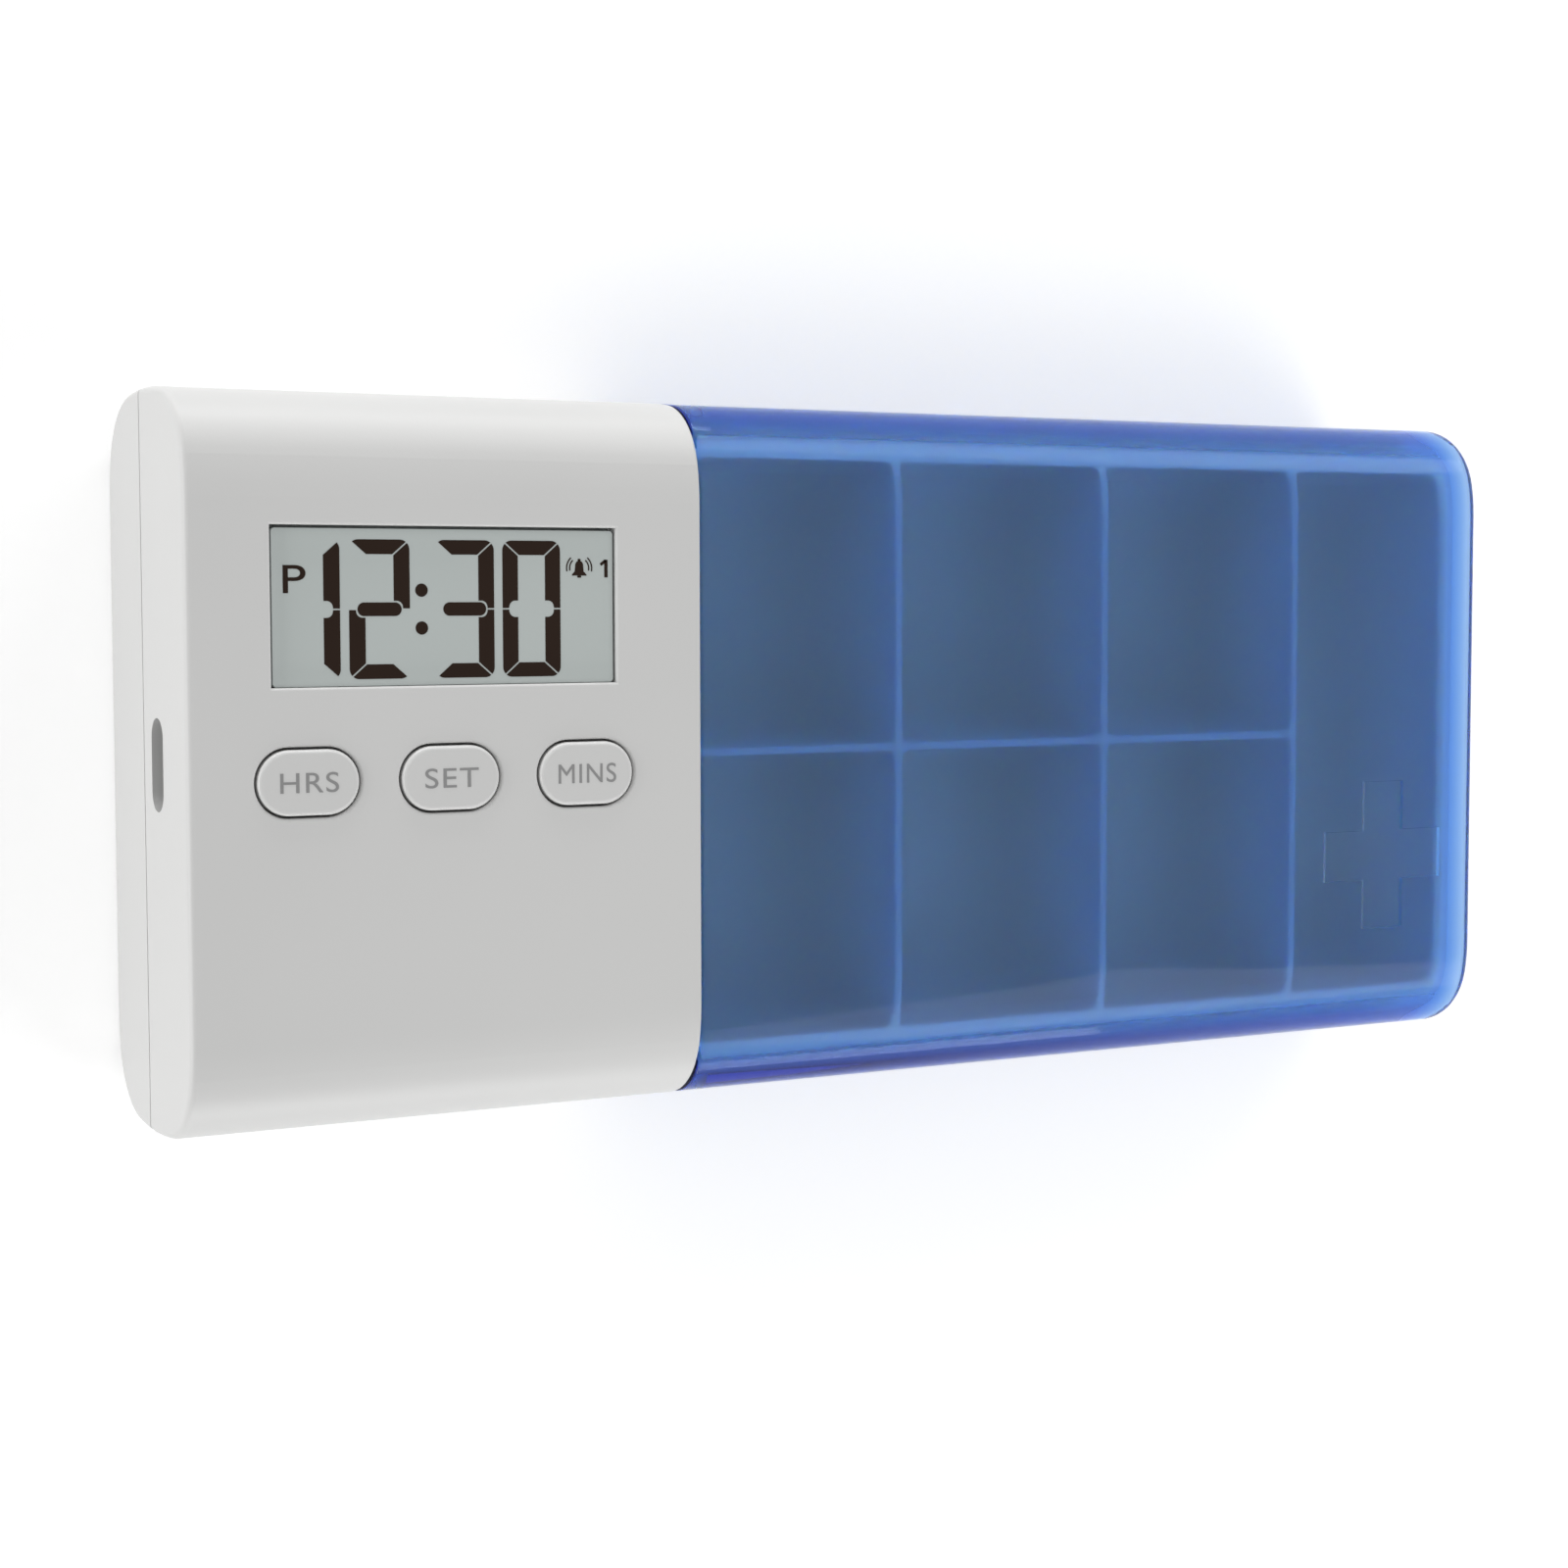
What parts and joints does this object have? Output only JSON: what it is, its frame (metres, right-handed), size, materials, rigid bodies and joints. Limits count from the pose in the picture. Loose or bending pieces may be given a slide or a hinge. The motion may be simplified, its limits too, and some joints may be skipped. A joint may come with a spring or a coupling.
{
  "type": "electronic pill box",
  "caption": "Flat pocket pill box: a white timer with a recessed display and oval buttons, and a frosted blue sleeve that slides off a compartment tray.",
  "frame": {"origin": "centre of the flat back, on the surface that the box lies on", "axes": "+X along the box towards the closed end of the sleeve, +Y towards the display's side across the width, +Z out of the face with the display"},
  "size_m": [0.1308, 0.06, 0.0215],
  "materials": {
    "white_abs": "satin white ABS",
    "button_abs": "satin light grey ABS",
    "natural_polypropylene": "milky natural polypropylene",
    "frosted_blue_polypropylene": "frosted translucent blue polypropylene",
    "switch_plastic": "black nylon",
    "spring_steel": "nickel-plated spring steel",
    "screw_steel": "zinc-plated steel",
    "polarising_film": "neutral grey polarising film",
    "display_glass": "clear thin glass",
    "display_reflector": "silvery grey-green reflector film",
    "frame_abs": "off-white ABS",
    "contact_rubber": "striped conductive silicone rubber",
    "board_laminate": "green solder resist on glass-epoxy laminate",
    "black_epoxy": "black epoxy",
    "chip_ceramic": "chip component ceramic",
    "contact_brass": "thin rolled brass",
    "cell_jacket": "plain dark film jacket over a steel can"
  },
  "bodies": {
    "timer": {"front_shell": "white_abs", "back_shell": "white_abs", "pill_tray": "natural_polypropylene", "hour_switch": "switch_plastic", "mode_switch": "switch_plastic", "minute_switch": "switch_plastic", "switch_domes": "spring_steel", "display_front_film": "polarising_film", "display_front_glass": "display_glass", "display_rear_glass": "display_glass", "display_reflector": "display_reflector", "display_frame": "frame_abs", "contact_strip": "contact_rubber", "circuit_board": "board_laminate", "chip_blob": "black_epoxy", "quartz_crystal": "spring_steel", "board_parts": "chip_ceramic", "sounder_case": "black_epoxy", "sounder_diaphragm": "contact_brass", "sounder_base": "black_epoxy", "sounder_leads": "spring_steel", "left_cell": "cell_jacket", "right_cell": "cell_jacket", "positive_contact": "spring_steel", "negative_contact": "spring_steel", "bridge_contact": "spring_steel", "case_screws": "screw_steel", "board_screws": "screw_steel"},
    "sleeve": {"sleeve": "frosted_blue_polypropylene"},
    "battery_door": {"battery_door": "white_abs"},
    "hour_button": {"hour_button": "button_abs", "hour_plunger": "switch_plastic"},
    "mode_button": {"mode_button": "button_abs", "mode_plunger": "switch_plastic"},
    "minute_button": {"minute_button": "button_abs", "minute_plunger": "switch_plastic"}
  },
  "joints": [
    {"name": "sleeve_slide", "type": "slide", "parent": "timer", "child": "sleeve", "axis": [1, 0, 0], "range_m": [0, 0.083]},
    {"name": "battery_door_slide", "type": "slide", "parent": "timer", "child": "battery_door", "axis": [0, -1, 0], "range_m": [0, 0.046]},
    {"name": "hour_press", "type": "slide", "parent": "timer", "child": "hour_button", "axis": [0, 0, -1], "range_m": [0, 0.0005], "stiffness_N_per_m": 2000},
    {"name": "mode_press", "type": "slide", "parent": "timer", "child": "mode_button", "axis": [0, 0, -1], "range_m": [0, 0.0005], "stiffness_N_per_m": 2000},
    {"name": "minute_press", "type": "slide", "parent": "timer", "child": "minute_button", "axis": [0, 0, -1], "range_m": [0, 0.0005], "stiffness_N_per_m": 2000}
  ]
}
